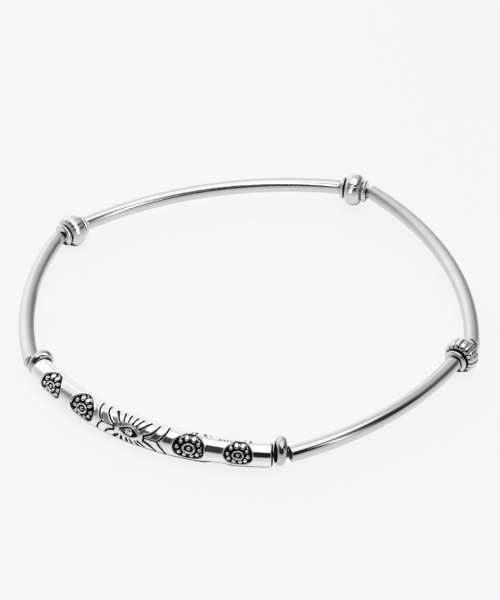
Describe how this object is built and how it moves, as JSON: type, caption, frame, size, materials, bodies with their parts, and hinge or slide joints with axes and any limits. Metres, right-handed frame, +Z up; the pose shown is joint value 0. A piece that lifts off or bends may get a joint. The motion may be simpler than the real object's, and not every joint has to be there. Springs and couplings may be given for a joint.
{
  "type": "bar bracelet",
  "caption": "Stretch bracelet of a curved silver bar with cast eye and shield relief, plain curved tubes, fluted beads and ring spacers on a closed elastic thread.",
  "frame": {"origin": "middle of the bounding box seen from above, on the floor that the bracelet lies on", "axes": "+Z up, along the way the wrist goes through; -Y towards the engraved bar; +X to the right as seen from the bar's outer side"},
  "size_m": [0.0598, 0.0603, 0.0046],
  "materials": {
    "polished_silver": "polished silver, darkened by tarnish in the sunk relief, between the flutes and in fine specks",
    "elastic_thread": "smooth dark elastic"
  },
  "bodies": {
    "root": {"engraved_bar": "polished_silver", "spacer_left": "polished_silver", "spacer_right": "polished_silver", "tube_left": "polished_silver", "tube_back": "polished_silver", "tube_right": "polished_silver", "tube_front": "polished_silver", "fluted_bead_left": "polished_silver", "fluted_bead_back": "polished_silver", "fluted_bead_right": "polished_silver", "thread": "elastic_thread"}
  },
  "joints": []
}
